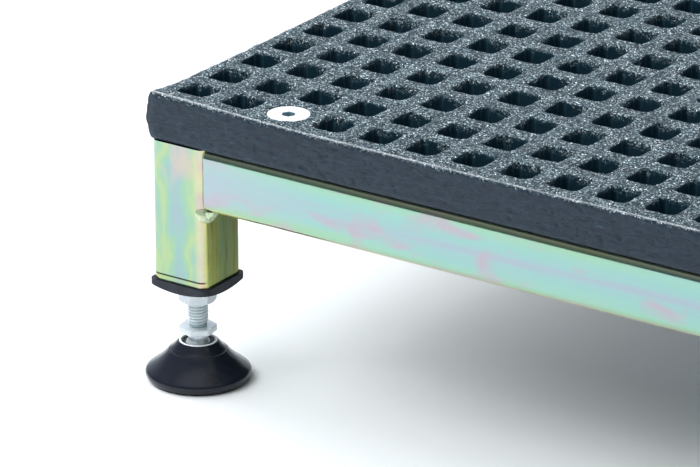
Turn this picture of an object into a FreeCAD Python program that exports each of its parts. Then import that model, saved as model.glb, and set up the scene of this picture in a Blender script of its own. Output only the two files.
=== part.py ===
import FreeCAD, Part
import math
import os

import Sketcher

# Low height-adjustable stage riser: a closed-edge moulded grating deck on a welded square tube
# frame with four legs, each on an articulated levelling foot.
# Frame: +Z up, +X along the long side, front at -Y. Origin on the floor under the deck's centre.

DOC = FreeCAD.newDocument("stage_riser")
SHEET = DOC.addObject("Spreadsheet::Sheet", "Sheet")

# alias, value in mm (or degrees, or a count), meaning
DIMENSIONS = [
    ("pitch", 25.4, "grating cell pitch, one inch"),
    ("cells_x", 23, "cells along the long side"),
    ("cells_y", 15, "cells along the short side"),
    ("border_x", 15.2, "deck end to first cell centre"),
    ("border_y", 17.3, "deck front to first cell centre"),
    ("cell_top", 16.0, "cell opening"),
    ("cell_corner", 2.6, "cell corner radius"),
    ("deck_thick", 21.0, "deck thickness"),
    ("deck_corner", 1.5, "deck outer corner radius"),
    ("deck_low", 121.0, "floor to deck underside"),
    ("screw_cells", 18, "cells between the deck screws along x"),
    ("screw_bore_r", 5.3, "screw clearance bore"),
    ("screw_head_r", 10.0, "countersunk head radius"),
    ("screw_r", 5.0, "deck screw thread radius"),
    ("screw_length", 35.0, "deck screw length"),
    ("head_rim", 0.6, "straight rim of the countersunk head"),
    ("head_gap", 0.15, "gap round the countersunk head"),
    ("socket_af", 6.0, "hex socket across flats"),
    ("socket_depth", 4.0, "hex socket depth"),
    ("nutsert_r", 6.4, "rivet nut body radius"),
    ("nutsert_flange_r", 8.0, "rivet nut flange radius"),
    ("nutsert_flange", 0.9, "rivet nut flange thickness"),
    ("nutsert_length", 17.0, "rivet nut length under the flange"),
    ("thread_bore_r", 5.05, "M10 bore, running fit on the stud"),
    ("tube", 30.0, "square tube side"),
    ("wall", 2.0, "tube wall"),
    ("tube_corner", 4.0, "tube outer corner radius"),
    ("tube_inner_corner", 2.0, "tube inner corner radius"),
    ("leg_length", 69.0, "leg length"),
    ("bead_leg", 3.4, "weld bead leg"),
    ("bead_length", 23.0, "weld bead length"),
    ("flange", 32.6, "tube insert flange side"),
    ("flange_corner", 3.4, "tube insert flange corner radius"),
    ("flange_depth", 6.9, "tube insert depth below the tube"),
    ("dome_radius", 59.0, "tube insert dome radius"),
    ("core", 21.6, "tube insert core side"),
    ("core_height", 20.0, "tube insert height inside the tube"),
    ("fin", 25.9, "tube insert fin side"),
    ("fin_thick", 1.4, "tube insert fin thickness"),
    ("fin_step", 6.0, "tube insert fin spacing"),
    ("nut_af", 16.0, "M10 nut across flats"),
    ("nut_height", 6.5, "M10 nut height"),
    ("nut_chamfer", 0.9, "nut corner chamfer height"),
    ("captive_gap", 0.05, "gap round the captive nut"),
    ("captive_low", 57.5, "floor to captive nut"),
    ("stud_r", 5.0, "M10 stud radius"),
    ("stud_length", 60.0, "stud thread length above its hexagon"),
    ("stud_tip", 1.0, "stud tip chamfer"),
    ("hex_low", 23.55, "floor to the stud hexagon's underside"),
    ("hex_height", 3.0, "stud hexagon thickness"),
    ("neck_r", 4.7, "neck radius between hexagon and ball"),
    ("ball_z", 15.6, "floor to ball centre"),
    ("ball_r", 6.4, "ball radius"),
    ("ball_gap", 0.05, "running gap in the ball joint"),
    ("ring_r", 7.6, "retaining ring outer spherical radius"),
    ("ring_top", 24.0, "retaining ring upper edge, degrees above the ball's equator"),
    ("ring_low", 20.0, "retaining ring lower edge, degrees below the ball's equator"),
    ("ring_slit", 1.5, "retaining ring slit"),
    ("relief_low", 36.0, "ring groove lower edge, degrees below the ball's equator"),
    ("foot_top", 19.3, "floor to foot base top"),
    ("foot_rim_r", 9.2, "foot base rim, outer radius"),
    ("foot_mouth_r", 7.8, "foot base mouth radius"),
    ("foot_lip_z", 18.2, "floor to foot base lip"),
    ("foot_step_r", 13.5, "foot base step radius"),
    ("foot_step_z", 15.2, "floor to foot base step"),
    ("foot_waist_r", 19.2, "foot base radius at mid height"),
    ("foot_waist_z", 8.2, "floor to foot base mid height"),
    ("foot_r", 25.0, "foot base largest radius"),
    ("foot_edge_z", 4.6, "floor to foot base largest radius, upper end"),
    ("foot_edge_low", 2.8, "floor to foot base largest radius, lower end"),
    ("foot_under_r", 24.2, "foot base radius at its underside"),
    ("foot_low", 1.0, "floor to foot base underside"),
    ("foot_groove", 0.5, "groove round the foot base step"),
    ("pad_r", 23.0, "anti-slip pad radius"),
    ("pad_thick", 2.4, "anti-slip pad thickness"),
    ("pad_gap", 0.1, "gap round the anti-slip pad"),
]
for row, (alias, value, meaning) in enumerate(DIMENSIONS, start=1):
    SHEET.set("A%d" % row, meaning)
    SHEET.set("B%d" % row, str(value))
    SHEET.setAlias("B%d" % row, alias)
DOC.recompute()

# Lengths that several parts share, as expressions of the sheet
DECK_X = "(2 * Sheet.border_x + (Sheet.cells_x - 1) * Sheet.pitch)"
DECK_Y = "(2 * Sheet.border_y + (Sheet.cells_y - 1) * Sheet.pitch)"
DECK_TOP = "(Sheet.deck_low + Sheet.deck_thick)"
TUBE_LOW = "(Sheet.deck_low - Sheet.leg_length)"
RAIL_LOW = "(Sheet.deck_low - Sheet.tube)"
LEG_X = "(%s / 2 - Sheet.tube / 2)" % DECK_X
LEG_Y = "(%s / 2 - Sheet.tube / 2)" % DECK_Y
SCREW_X = "(Sheet.screw_cells * Sheet.pitch / 2)"
SCREW_Y = "((Sheet.cells_y - 1) * Sheet.pitch / 2)"
DOME_LOW = "(%s - Sheet.flange_depth)" % TUBE_LOW
HEX_TOP = "(Sheet.hex_low + Sheet.hex_height)"

CORNERS = [("front_left", -1, -1), ("front_right", 1, -1), ("rear_left", -1, 1), ("rear_right", 1, 1)]


def value(expression):
    """The number an expression of the sheet stands for."""
    result = SHEET.evalExpression(expression)
    return float(getattr(result, "Value", result))


def place(obj, x="0", y="0", z="0"):
    """Bind an object's position to the sheet."""
    for axis, expression in (("x", x), ("y", y), ("z", z)):
        obj.setExpression("Placement.Base." + axis, expression)


def new_body(name, x="0", y="0", z="0"):
    body = DOC.addObject("PartDesign::Body", name)
    body.Label = name
    place(body, x, y, z)
    return body


def new_sketch(body, plane, lift="0"):
    """A sketch on one of the body's origin planes, moved along the plane's normal."""
    sketch = body.newObject("Sketcher::SketchObject", body.Name + "_sketch")
    support = [feature for feature in body.Origin.OriginFeatures if feature.Role == plane][0]
    sketch.AttachmentSupport = [(support, "")]
    sketch.MapMode = "FlatFace"
    sketch.setExpression("AttachmentOffset.Base.z", lift)
    return sketch


def pin_point(sketch, edge, end, x, y):
    """Fix one end of a sketch edge at two expressions."""
    for kind, axis, expression in (("DistanceX", -2, x), ("DistanceY", -1, y)):
        amount = value(expression)
        if abs(amount) < 1e-9:
            sketch.addConstraint(Sketcher.Constraint("PointOnObject", edge, end, axis))
        else:
            index = sketch.addConstraint(Sketcher.Constraint(kind, -1, 1, edge, end, amount))
            sketch.setExpression("Constraints[%d]" % index, expression)


def outline(sketch, points):
    """A closed outline of straight edges and arcs. Each point is (x, y) or (x, y, centre x, centre y),
    where the centre is that of the arc that ends at the point, anticlockwise when it has a fifth entry."""
    numbers = [FreeCAD.Vector(value(p[0]), value(p[1]), 0) for p in points]
    first = sketch.GeometryCount
    count = len(points)
    starts = []
    for i, point in enumerate(points):
        start, end = numbers[i - 1], numbers[i]
        if len(point) == 2:
            sketch.addGeometry(Part.LineSegment(start, end), False)
            starts.append((1, 2))
            continue
        centre = FreeCAD.Vector(value(point[2]), value(point[3]), 0)
        radius = (end - centre).Length
        low = math.atan2(start.y - centre.y, start.x - centre.x)
        high = math.atan2(end.y - centre.y, end.x - centre.x)
        anticlockwise = len(point) == 5
        if not anticlockwise:
            low, high = high, low
        circle = Part.Circle(centre, FreeCAD.Vector(0, 0, 1), radius)
        sketch.addGeometry(Part.ArcOfCircle(circle, low, high), False)
        starts.append((1, 2) if anticlockwise else (2, 1))
    for i, point in enumerate(points):
        following = (i + 1) % count
        sketch.addConstraint(
            Sketcher.Constraint("Coincident", first + i, starts[i][1], first + following, starts[following][0])
        )
    for i, point in enumerate(points):
        pin_point(sketch, first + i, starts[i][1], point[0], point[1])
    for i, point in enumerate(points):
        if len(point) > 2:
            # both ends are fixed, so one coordinate fixes the centre
            amount = value(point[2])
            if abs(amount) < 1e-9:
                sketch.addConstraint(Sketcher.Constraint("PointOnObject", first + i, 3, -2))
            else:
                index = sketch.addConstraint(Sketcher.Constraint("DistanceX", -1, 1, first + i, 3, amount))
                sketch.setExpression("Constraints[%d]" % index, point[2])


def circle(sketch, radius, x="0", y="0"):
    centre = FreeCAD.Vector(value(x), value(y), 0)
    edge = sketch.addGeometry(Part.Circle(centre, FreeCAD.Vector(0, 0, 1), value(radius)), False)
    pin_point(sketch, edge, 3, x, y)
    index = sketch.addConstraint(Sketcher.Constraint("Radius", edge, value(radius)))
    sketch.setExpression("Constraints[%d]" % index, radius)


def rectangle(sketch, width, height, x="0", y="0"):
    left, right = "(%s) - (%s) / 2" % (x, width), "(%s) + (%s) / 2" % (x, width)
    low, high = "(%s) - (%s) / 2" % (y, height), "(%s) + (%s) / 2" % (y, height)
    outline(sketch, [(right, low), (right, high), (left, high), (left, low)])


def hexagon(sketch, across_flats):
    half, corner = "(%s) / 2" % across_flats, "(%s) / sqrt(3)" % across_flats
    quarter = "(%s) / (2 * sqrt(3))" % across_flats
    outline(
        sketch,
        [(corner, "0"), (quarter, half), ("-" + quarter, half), ("-" + corner, "0"),
         ("-" + quarter, "-" + half), (quarter, "-" + half)],
    )


def pad(body, sketch, length, midplane=False):
    feature = body.newObject("PartDesign::Pad", body.Name + "_pad")
    feature.Profile = sketch
    feature.setExpression("Length", length)
    feature.Midplane = midplane
    DOC.recompute()


def pocket(body, sketch, length=None, up=False):
    """Cut downwards from the sketch, or upwards. No length cuts through everything."""
    feature = body.newObject("PartDesign::Pocket", body.Name + "_pocket")
    feature.Profile = sketch
    feature.Reversed = up
    if length is None:
        feature.Type = "ThroughAll"
    else:
        feature.setExpression("Length", length)
    DOC.recompute()
    return feature


def turn(body, sketch, cut=False):
    """Revolve a profile about the vertical axis, as solid or as a cut."""
    kind = "PartDesign::Groove" if cut else "PartDesign::Revolution"
    feature = body.newObject(kind, body.Name + ("_groove" if cut else "_turning"))
    feature.Profile = sketch
    feature.ReferenceAxis = (sketch, ["V_Axis"])
    feature.Angle = 360
    DOC.recompute()
    return feature


def fillet(body, radius, chosen):
    """Round the body's edges that a test picks."""
    base = body.Tip
    edges = ["Edge%d" % (i + 1) for i, edge in enumerate(base.Shape.Edges) if chosen(edge)]
    feature = body.newObject("PartDesign::Fillet", body.Name + "_fillet")
    feature.Base = (base, edges)
    feature.setExpression("Radius", radius)
    DOC.recompute()
    return feature


def along(edge, axis):
    """True for a straight edge along an axis."""
    if len(edge.Vertexes) != 2:
        return False
    step = edge.Vertexes[1].Point - edge.Vertexes[0].Point
    return abs(abs(step.dot(axis)) - step.Length) < 1e-6 and step.Length > 1e-6


UP = FreeCAD.Vector(0, 0, 1)
EAST = FreeCAD.Vector(1, 0, 0)
NORTH = FreeCAD.Vector(0, 1, 0)


def rounded_square(side, corner, x, y):
    """A closed wire: a square with rounded corners, centred on x, y."""
    half = side / 2 - corner
    edges = []
    for quarter in range(4):
        turned = FreeCAD.Rotation(UP, 90 * quarter)
        low = turned.multVec(FreeCAD.Vector(side / 2, -half, 0))
        high = turned.multVec(FreeCAD.Vector(side / 2, half, 0))
        diagonal = corner * math.sqrt(0.5)
        middle = turned.multVec(FreeCAD.Vector(half + diagonal, half + diagonal, 0))
        after = turned.multVec(FreeCAD.Vector(half, side / 2, 0))
        edges.append(Part.makeLine(low, high))
        edges.append(Part.Arc(high, middle, after).toShape())
    wire = Part.Wire(edges)
    wire.translate(FreeCAD.Vector(x, y, 0))
    return wire


def make_deck():
    """The moulded grating: a plate with every cell open but the four that take the screws."""
    pitch = value("Sheet.pitch")
    cells_x, cells_y = int(value("Sheet.cells_x")), int(value("Sheet.cells_y"))
    length, width = value(DECK_X), value(DECK_Y)
    thick, low = value("Sheet.deck_thick"), value("Sheet.deck_low")
    side, corner = value("Sheet.cell_top"), value("Sheet.cell_corner")
    screw_x, screw_y = value(SCREW_X), value(SCREW_Y)
    plate = Part.makeBox(length, width, thick, FreeCAD.Vector(-length / 2, -width / 2, 0))
    plate = plate.makeFillet(value("Sheet.deck_corner"), [edge for edge in plate.Edges if along(edge, UP)])
    under = [face for face in plate.Faces if face.normalAt(0, 0).z < -0.9][0]
    wires = [under.OuterWire]
    for i in range(cells_x):
        for j in range(cells_y):
            x = (i - (cells_x - 1) / 2) * pitch
            y = (j - (cells_y - 1) / 2) * pitch
            if abs(abs(x) - screw_x) > 1 or abs(abs(y) - screw_y) > 1:
                wires.append(rounded_square(side, corner, x, y))
    deck = Part.makeFace(wires, "Part::FaceMakerBullseye").extrude(UP * thick)
    head = value("Sheet.screw_head_r") + value("Sheet.head_gap")
    bore, rim = value("Sheet.screw_bore_r"), value("Sheet.head_rim")
    recess, recess_r = value("Sheet.nutsert_flange") + 0.1, value("Sheet.nutsert_flange_r") + 0.3
    cuts = []
    for _, east, north in CORNERS:
        at = FreeCAD.Vector(east * screw_x, north * screw_y, 0)
        cuts.append(Part.makeCylinder(bore, thick + 2, at - UP))
        cuts.append(Part.makeCone(bore, head, head - bore, at + UP * (thick - rim - head + bore)))
        cuts.append(Part.makeCylinder(head, rim + 1, at + UP * (thick - rim)))
        cuts.append(Part.makeCylinder(recess_r, recess + 1, at - UP))
    feature = DOC.addObject("Part::Feature", "deck_panel")
    feature.Label = "deck_panel"
    feature.Shape = deck.cut(cuts)
    feature.Placement = FreeCAD.Placement(FreeCAD.Vector(0, 0, low), FreeCAD.Rotation())


def tube_body(name, length, plane, x, y, z):
    """A square tube whose length is centred on its own origin, or starts there when upright."""
    body = new_body(name, x, y, z)
    upright = plane == "XY_Plane"
    direction = {"XY_Plane": UP, "YZ_Plane": EAST, "XZ_Plane": NORTH}[plane]
    sketch = new_sketch(body, plane)
    rectangle(sketch, "Sheet.tube", "Sheet.tube")
    pad(body, sketch, length, midplane=not upright)
    fillet(body, "Sheet.tube_corner", lambda edge: along(edge, direction))
    sketch = new_sketch(body, plane)
    rectangle(sketch, "Sheet.tube - 2 * Sheet.wall", "Sheet.tube - 2 * Sheet.wall")
    hollow = pocket(body, sketch, up=upright)
    if not upright:
        hollow.Midplane = True
        DOC.recompute()
    inner = value("Sheet.tube / 2 - Sheet.wall") + 1e-3

    def inside(edge):
        middle = edge.CenterOfMass
        offset = middle - direction * middle.dot(direction)
        near = all(abs(offset.dot(axis)) < inner for axis in (UP, EAST, NORTH))
        return along(edge, direction) and near

    fillet(body, "Sheet.tube_inner_corner", inside)
    return body


def make_frame():
    for corner, side, back in CORNERS:
        tube_body("leg_" + corner, "Sheet.leg_length", "XY_Plane",
                  "%d * %s" % (side, LEG_X), "%d * %s" % (back, LEG_Y), TUBE_LOW)
    rail_z = "Sheet.deck_low - Sheet.tube / 2"
    for name, back in (("rail_front", -1), ("rail_rear", 1)):
        body = tube_body(name, DECK_X + " - 2 * Sheet.tube", "YZ_Plane", "0", "%d * %s" % (back, LEG_Y), rail_z)
        # holes for the rivet nuts, in the upper wall only
        sketch = new_sketch(body, "XY_Plane", "Sheet.tube / 2")
        offset = "%d * (%s - %s)" % (back, SCREW_Y, LEG_Y)
        for side in (-1, 1):
            circle(sketch, "Sheet.nutsert_r", "%d * %s" % (side, SCREW_X), offset)
        pocket(body, sketch, "Sheet.wall")
    for name, side in (("rail_left", -1), ("rail_right", 1)):
        tube_body(name, DECK_Y + " - 2 * Sheet.tube", "XZ_Plane", "%d * %s" % (side, LEG_X), "0", rail_z)


def fillet_bead(leg, length, start, along_axis, first, second):
    """A weld bead filling the corner between two faces, with a hollow front."""
    corner = start
    a = corner + first * leg
    b = corner + second * leg
    middle = corner + (first + second) * (leg * 0.40)
    face = Part.Face(Part.Wire([
        Part.makeLine(corner, a),
        Part.Arc(a, middle, b).toShape(),
        Part.makeLine(b, corner),
    ]))
    return face.extrude(along_axis * length)


def make_beads():
    """Fillet welds under each rail end and up each inner corner of the frame."""
    leg = value("Sheet.bead_leg")
    length = value("Sheet.bead_length")
    inner_x, inner_y = value(LEG_X + " - Sheet.tube / 2"), value(LEG_Y + " - Sheet.tube / 2")
    centre_x, centre_y = value(LEG_X), value(LEG_Y)
    low = value(RAIL_LOW)
    tube, round_r = value("Sheet.tube"), value("Sheet.tube_corner")
    beads = []
    for _, side, back in CORNERS:
        towards_x, towards_y = EAST * -side, NORTH * -back
        start = FreeCAD.Vector(side * inner_x, back * centre_y - length / 2, low)
        beads.append(fillet_bead(leg, length, start, NORTH, towards_x, UP * -1))
        start = FreeCAD.Vector(side * centre_x - length / 2, back * inner_y, low)
        beads.append(fillet_bead(leg, length, start, EAST, towards_y, UP * -1))
        start = FreeCAD.Vector(side * inner_x, back * inner_y, low + round_r)
        height = tube - 2 * round_r
        beads.append(fillet_bead(leg, height, start, UP, towards_x, towards_y))
    group = DOC.addObject("Part::Feature", "weld_beads")
    group.Label = "weld_beads"
    group.Shape = Part.Compound(beads)


def make_insert(corner, x, y):
    body = new_body("tube_insert_" + corner, x, y)
    sketch = new_sketch(body, "XY_Plane", DOME_LOW)
    rectangle(sketch, "Sheet.flange", "Sheet.flange")
    pad(body, sketch, "Sheet.flange_depth")
    fillet(body, "Sheet.flange_corner", lambda edge: along(edge, UP))
    # the underside is a shallow dome
    sketch = new_sketch(body, "XZ_Plane")
    rim_z = DOME_LOW + " + Sheet.dome_radius - sqrt(Sheet.dome_radius ^ 2 - Sheet.flange ^ 2)"
    centre_z = DOME_LOW + " + Sheet.dome_radius"
    outline(
        sketch,
        [("Sheet.flange", rim_z, "0", centre_z, "left"), ("Sheet.flange", DOME_LOW + " - 1"),
         ("0", DOME_LOW + " - 1"), ("0", DOME_LOW)],
    )
    turn(body, sketch, cut=True)
    sketch = new_sketch(body, "XY_Plane", TUBE_LOW)
    rectangle(sketch, "Sheet.core", "Sheet.core")
    pad(body, sketch, "Sheet.core_height")
    for step in range(3):
        sketch = new_sketch(body, "XY_Plane", "%s + 3 + %d * Sheet.fin_step" % (TUBE_LOW, step))
        rectangle(sketch, "Sheet.fin", "Sheet.fin")
        pad(body, sketch, "Sheet.fin_thick")
    reach = value("Sheet.fin / 2")
    fillet(
        body, "Sheet.tube_inner_corner",
        lambda edge: along(edge, UP) and abs(abs(edge.CenterOfMass.x) - reach) < 1e-3,
    )
    sketch = new_sketch(body, "XY_Plane", TUBE_LOW + " + Sheet.core_height")
    hexagon(sketch, "(Sheet.nut_af + 2 * Sheet.captive_gap)")
    pocket(body, sketch, "%s + Sheet.core_height - Sheet.captive_low" % TUBE_LOW)
    sketch = new_sketch(body, "XY_Plane")
    circle(sketch, "Sheet.thread_bore_r")
    pocket(body, sketch, up=True)
    # the dome is flattened where the lock nut bears
    sketch = new_sketch(body, "XY_Plane")
    circle(sketch, "Sheet.nut_af * 0.62")
    pocket(body, sketch, DOME_LOW + " + 0.4", up=True)
    return body


def make_nut(name, x, y, low):
    body = new_body(name, x, y)
    sketch = new_sketch(body, "XY_Plane", low)
    hexagon(sketch, "Sheet.nut_af")
    pad(body, sketch, "Sheet.nut_height")
    # both ends are turned to a cone that takes the corners off
    inside, outside = "(Sheet.nut_af / 2 * 0.99)", "(Sheet.nut_af / sqrt(3) + 2)"
    slope = "Sheet.nut_chamfer * (%s - %s) / (Sheet.nut_af / sqrt(3) - %s)" % (outside, inside, inside)
    for end, sign in ((low, 1), ("%s + Sheet.nut_height" % low, -1)):
        sketch = new_sketch(body, "XZ_Plane")
        rise = "+" if sign > 0 else "-"
        fall = "-" if sign > 0 else "+"
        outline(
            sketch,
            [(outside, "%s %s %s" % (end, rise, slope)), (outside, "%s %s 1" % (end, fall)),
             (inside, "%s %s 1" % (end, fall)), (inside, end)],
        )
        turn(body, sketch, cut=True)
    sketch = new_sketch(body, "XY_Plane")
    circle(sketch, "Sheet.thread_bore_r")
    pocket(body, sketch, up=True)
    return body


def make_stud(corner, x, y):
    body = new_body("stud_" + corner, x, y)
    top = "(%s + Sheet.stud_length)" % HEX_TOP
    sketch = new_sketch(body, "XZ_Plane")
    neck_end = "(Sheet.ball_z + sqrt((Sheet.ball_r + Sheet.ball_gap) ^ 2 - Sheet.neck_r ^ 2))"
    cup_top = "(Sheet.ball_z + Sheet.ball_r + Sheet.ball_gap)"
    outline(
        sketch,
        [("Sheet.neck_r", neck_end, "0", "Sheet.ball_z"), ("Sheet.neck_r", "Sheet.hex_low + 0.5"),
         ("Sheet.stud_r", "Sheet.hex_low + 0.5"), ("Sheet.stud_r", top + " - Sheet.stud_tip"),
         ("Sheet.stud_r - Sheet.stud_tip", top), ("0", top), ("0", cup_top)],
    )
    turn(body, sketch)
    sketch = new_sketch(body, "XY_Plane", "Sheet.hex_low")
    hexagon(sketch, "Sheet.nut_af")
    pad(body, sketch, "Sheet.hex_height")
    return body


def make_ball(corner, x, y):
    body = new_body("ball_" + corner, x, y)
    ball = body.newObject("PartDesign::AdditiveSphere", body.Name + "_sphere")
    ball.setExpression("Radius", "Sheet.ball_r")
    ball.setExpression("AttachmentOffset.Base.z", "Sheet.ball_z")
    ball.AttachmentSupport = [([f for f in body.Origin.OriginFeatures if f.Role == "XY_Plane"][0], "")]
    ball.MapMode = "FlatFace"
    DOC.recompute()
    return body


def on_sphere(radius, degrees):
    """A point of the ball joint's section: distance from the axis, and height."""
    reach = "((%s) * cos((%s) * 1deg))" % (radius, degrees)
    height = "(Sheet.ball_z + (%s) * sin((%s) * 1deg))" % (radius, degrees)
    return reach, height


def make_ring(corner, x, y):
    """The split ring between the ball and the foot base."""
    body = new_body("ball_ring_" + corner, x, y)
    inner = "Sheet.ball_r + Sheet.ball_gap"
    low_in, top_in = on_sphere(inner, "-Sheet.ring_low"), on_sphere(inner, "Sheet.ring_top")
    low_out, top_out = on_sphere("Sheet.ring_r", "-Sheet.ring_low"), on_sphere("Sheet.ring_r", "Sheet.ring_top")
    sketch = new_sketch(body, "XZ_Plane")
    outline(
        sketch,
        [top_out + ("0", "Sheet.ball_z", "left"), top_in, low_in + ("0", "Sheet.ball_z"), low_out],
    )
    turn(body, sketch)
    sketch = new_sketch(body, "XY_Plane", "Sheet.foot_top + 5")
    rectangle(sketch, "Sheet.ring_slit", "Sheet.ring_r", y="Sheet.ring_r")
    pocket(body, sketch)
    return body


def make_foot(corner, x, y):
    body = new_body("foot_base_" + corner, x, y)
    groove_r = "(Sheet.ring_r + Sheet.ball_gap)"
    seat = "(Sheet.ball_r + Sheet.ball_gap)"
    seat_low = "(Sheet.ball_z - %s)" % seat
    lip_r = "sqrt(%s ^ 2 - (Sheet.foot_lip_z - Sheet.ball_z) ^ 2)" % groove_r
    relief = on_sphere(groove_r, "-Sheet.relief_low")
    inner = on_sphere(seat, "-Sheet.relief_low")
    groove_z = "(Sheet.foot_step_z - Sheet.foot_groove)"
    pad_top = "(Sheet.pad_thick + Sheet.pad_gap)"
    sketch = new_sketch(body, "XZ_Plane")
    outline(
        sketch,
        [("Sheet.foot_under_r", "Sheet.foot_low"), ("Sheet.foot_r", "Sheet.foot_edge_low"),
         ("Sheet.foot_r", "Sheet.foot_edge_z"), ("Sheet.foot_waist_r", "Sheet.foot_waist_z"),
         ("Sheet.foot_step_r", groove_z), ("Sheet.foot_step_r - Sheet.foot_groove", groove_z),
         ("Sheet.foot_step_r - Sheet.foot_groove", "Sheet.foot_step_z"),
         ("Sheet.foot_rim_r", "Sheet.foot_top"), ("Sheet.foot_mouth_r", "Sheet.foot_top"),
         (lip_r, "Sheet.foot_lip_z"), relief + ("0", "Sheet.ball_z"), inner,
         ("0", seat_low, "0", "Sheet.ball_z"), ("0", pad_top),
         ("Sheet.pad_r + Sheet.pad_gap", pad_top), ("Sheet.pad_r + Sheet.pad_gap", "Sheet.foot_low")],
    )
    turn(body, sketch)
    return body


def make_pad(corner, x, y):
    body = new_body("foot_pad_" + corner, x, y)
    sketch = new_sketch(body, "XY_Plane")
    circle(sketch, "Sheet.pad_r")
    pad(body, sketch, "Sheet.pad_thick")
    return body


def make_feet():
    for corner, side, back in CORNERS:
        x, y = "%d * %s" % (side, LEG_X), "%d * %s" % (back, LEG_Y)
        make_insert(corner, x, y)
        make_nut("captive_nut_" + corner, x, y, "Sheet.captive_low")
        make_nut("lock_nut_" + corner, x, y, "(%s + 0.4 - Sheet.nut_height)" % DOME_LOW)
        make_stud(corner, x, y)
        make_ball(corner, x, y)
        make_ring(corner, x, y)
        make_foot(corner, x, y)
        make_pad(corner, x, y)


def hex_prism(across_flats, height):
    radius = across_flats / math.sqrt(3)
    points = [FreeCAD.Vector(radius * math.cos(math.radians(60 * k)), radius * math.sin(math.radians(60 * k)), 0)
              for k in range(7)]
    return Part.Face(Part.makePolygon(points)).extrude(UP * height)


def make_screws():
    """Four countersunk socket screws and the four rivet nuts they run into, one node for each kind."""
    top = value(DECK_TOP)
    low = value("Sheet.deck_low")
    head_r, shank_r = value("Sheet.screw_head_r"), value("Sheet.screw_r")
    rim, length = value("Sheet.head_rim"), value("Sheet.screw_length")
    cone = head_r - shank_r
    flange_r, flange = value("Sheet.nutsert_flange_r"), value("Sheet.nutsert_flange")
    body_r, reach = value("Sheet.nutsert_r"), value("Sheet.nutsert_length")
    bore_r = value("Sheet.thread_bore_r")
    depth = value("Sheet.socket_depth")
    screws, nuts = [], []
    for _, side, back in CORNERS:
        at = FreeCAD.Vector(side * value(SCREW_X), back * value(SCREW_Y), 0)
        shank = Part.makeCylinder(shank_r, length - rim - cone, at + UP * (top - length))
        taper = Part.makeCone(shank_r, head_r, cone, at + UP * (top - rim - cone))
        head = Part.makeCylinder(head_r, rim, at + UP * (top - rim))
        socket = hex_prism(value("Sheet.socket_af"), depth + 1)
        socket.translate(at + UP * (top - depth))
        screws.append(shank.fuse([taper, head]).removeSplitter().cut(socket))
        sleeve = Part.makeCylinder(body_r - 0.05, reach, at + UP * (low - reach))
        collar = Part.makeCylinder(flange_r, flange, at + UP * low)
        bore = Part.makeCylinder(bore_r, reach + flange + 2, at + UP * (low - reach - 1))
        nuts.append(sleeve.fuse(collar).cut(bore))
    for name, solids in (("deck_screws", screws), ("rivet_nuts", nuts)):
        group = DOC.addObject("Part::Feature", name)
        group.Label = name
        group.Shape = Part.Compound(solids)


make_deck()
make_frame()
make_beads()
make_screws()
make_feet()
DOC.recompute()

PARTS = [obj for obj in DOC.Objects if obj.TypeId == "PartDesign::Body" or obj.TypeId == "Part::Feature"]
for obj in DOC.Objects:
    bad = [state for state in obj.State if state in ("Invalid", "Error")]
    if bad:
        raise RuntimeError("%s: %s" % (obj.Name, bad))
os.makedirs("parts", exist_ok=True)
for obj in PARTS:
    shape = obj.Shape
    if shape.isNull() or not shape.isValid():
        raise RuntimeError("bad shape: " + obj.Label)
    shape.exportStep("parts/%s.step" % obj.Label)
    print("%-28s solids %2d volume %10.1f" % (obj.Label, len(shape.Solids), shape.Volume))
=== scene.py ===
import math

import bpy
import numpy as np
from mathutils import Matrix, Vector


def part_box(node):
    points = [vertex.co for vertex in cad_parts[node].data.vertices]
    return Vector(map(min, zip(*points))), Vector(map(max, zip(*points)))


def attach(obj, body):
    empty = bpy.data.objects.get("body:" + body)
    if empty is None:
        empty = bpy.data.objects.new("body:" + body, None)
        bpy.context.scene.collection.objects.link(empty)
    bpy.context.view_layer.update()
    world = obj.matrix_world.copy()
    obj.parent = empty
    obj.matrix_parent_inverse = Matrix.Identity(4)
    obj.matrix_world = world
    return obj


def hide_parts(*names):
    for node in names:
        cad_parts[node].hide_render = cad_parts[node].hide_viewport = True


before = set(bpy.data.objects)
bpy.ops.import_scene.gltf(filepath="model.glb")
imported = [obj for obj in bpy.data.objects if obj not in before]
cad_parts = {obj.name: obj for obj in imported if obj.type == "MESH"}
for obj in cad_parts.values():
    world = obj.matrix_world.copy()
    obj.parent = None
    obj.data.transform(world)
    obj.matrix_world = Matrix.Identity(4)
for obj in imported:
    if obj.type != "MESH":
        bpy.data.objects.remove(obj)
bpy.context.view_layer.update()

MM = 0.001
CORNERS = ("front_left", "front_right", "rear_left", "rear_right")

# ---------------------------------------------------------------- numbers shared with the CAD model, in mm
PITCH, CELL, CELL_CORNER = 25.4, 16.0, 2.6
CELLS_X, CELLS_Y = 23, 15
SCREW_I, SCREW_J = 9, 7            # the screws' cells, counted from the middle of the deck
HEAD_R = 10.15
DECK_LOW, DECK_HIGH = (np.array(v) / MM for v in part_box("deck_panel"))
LENGTH, WIDTH = DECK_HIGH[0] - DECK_LOW[0], DECK_HIGH[1] - DECK_LOW[1]
TOP, UNDER = DECK_HIGH[2], DECK_LOW[2]


# ---------------------------------------------------------------- noise
def hashed(*keys, seed=0):
    """A repeatable random number from 0 to 1 for each set of whole numbers."""
    total = np.full(np.broadcast(*keys).shape, seed * 374761393 + 668265263, dtype=np.uint64)
    for key, prime in zip(keys, (2654435761, 2246822519, 3266489917)):
        total = (total ^ (key.astype(np.int64).astype(np.uint64) * np.uint64(prime))) & np.uint64(0xFFFFFFFF)
        total = (total * np.uint64(0x85EBCA6B)) & np.uint64(0xFFFFFFFF)
        total = total ^ (total >> np.uint64(13))
        total = (total * np.uint64(0xC2B2AE35)) & np.uint64(0xFFFFFFFF)
        total = total ^ (total >> np.uint64(16))
    return total.astype(np.float64) / 4294967295.0


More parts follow.
